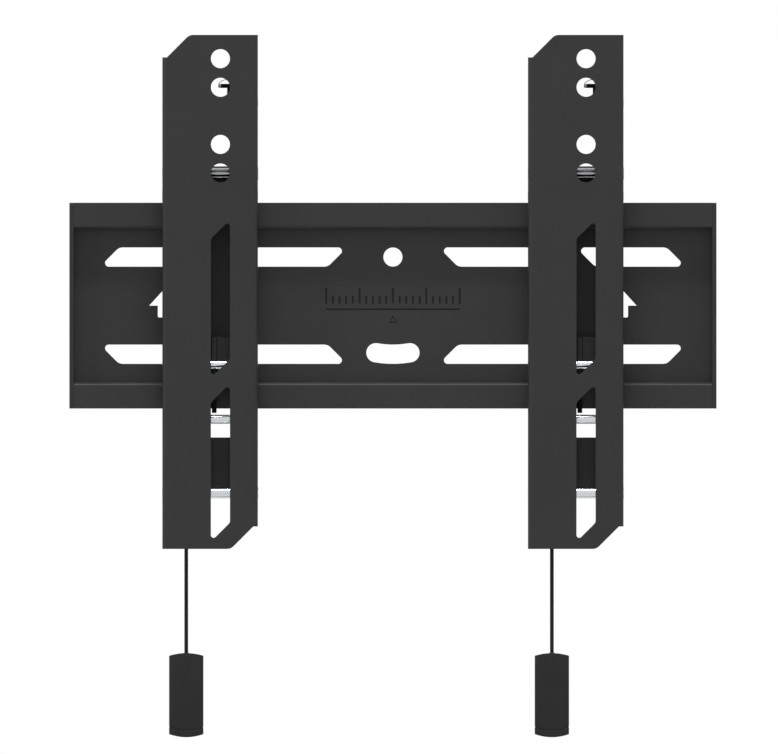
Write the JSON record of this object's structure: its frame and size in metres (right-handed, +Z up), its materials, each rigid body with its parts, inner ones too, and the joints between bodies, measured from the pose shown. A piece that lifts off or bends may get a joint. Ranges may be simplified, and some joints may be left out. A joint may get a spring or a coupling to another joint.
{
  "type": "flat screen wall mount",
  "caption": "Flat wall mount for a screen: folded steel rail with slots and end caps, and hanging arms that slide on it and lock under its lower lip with sprung pull-cord latches.",
  "frame": {"origin": "middle of the wall rail's back face, on the wall", "axes": "+X to the right along the rail as seen from the room, +Y into the wall, +Z up"},
  "size_m": [0.354, 0.035, 0.3842],
  "materials": {
    "coated_rail_steel": "fine matt black powder coat",
    "coated_arm_steel": "fine matt black powder coat",
    "coated_latch_steel": "matt black powder coat",
    "zinc_steel": "bright zinc plate",
    "spring_steel": "drawn wire",
    "cap_plastic": "fine spark texture",
    "black_nylon": "moulded",
    "grip_plastic": "satin moulded",
    "magnet_foot": "satin moulded shell over a magnet",
    "braided_cord": "braided nylon"
  },
  "bodies": {
    "rail": {"wall_plate": "coated_rail_steel", "left_end_cap": "cap_plastic", "right_end_cap": "cap_plastic"},
    "left_arm": {"left_arm_channel": "coated_arm_steel", "left_hook_bracket": "coated_arm_steel", "left_hook_pin": "zinc_steel", "left_stop_pin": "zinc_steel", "left_guide_pin": "zinc_steel", "left_cord_clip": "black_nylon"},
    "left_latch": {"left_lock_slider": "coated_latch_steel", "left_cord_bar": "zinc_steel", "left_cord_anchor": "black_nylon", "left_return_spring": "spring_steel", "left_pull_cord": "braided_cord", "left_pull_handle": "grip_plastic", "left_handle_magnet": "magnet_foot"},
    "right_arm": {"right_arm_channel": "coated_arm_steel", "right_hook_bracket": "coated_arm_steel", "right_hook_pin": "zinc_steel", "right_stop_pin": "zinc_steel", "right_guide_pin": "zinc_steel", "right_cord_clip": "black_nylon"},
    "right_latch": {"right_lock_slider": "coated_latch_steel", "right_cord_bar": "zinc_steel", "right_cord_anchor": "black_nylon", "right_return_spring": "spring_steel", "right_pull_cord": "braided_cord", "right_pull_handle": "grip_plastic", "right_handle_magnet": "magnet_foot"}
  },
  "joints": [
    {"name": "left_arm_slide", "type": "slide", "parent": "rail", "child": "left_arm", "axis": [-1, 0, 0], "range_m": [-0.07, 0.042]},
    {"name": "left_latch_pull", "type": "slide", "parent": "left_arm", "child": "left_latch", "axis": [0, 0, -1], "range_m": [0, 0.006], "stiffness_N_per_m": 1500, "springref_m": -0.004, "deforming": ["left_return_spring"]},
    {"name": "right_arm_slide", "type": "slide", "parent": "rail", "child": "right_arm", "axis": [1, 0, 0], "range_m": [-0.07, 0.042]},
    {"name": "right_latch_pull", "type": "slide", "parent": "right_arm", "child": "right_latch", "axis": [0, 0, -1], "range_m": [0, 0.006], "stiffness_N_per_m": 1500, "springref_m": -0.004, "deforming": ["right_return_spring"]}
  ]
}
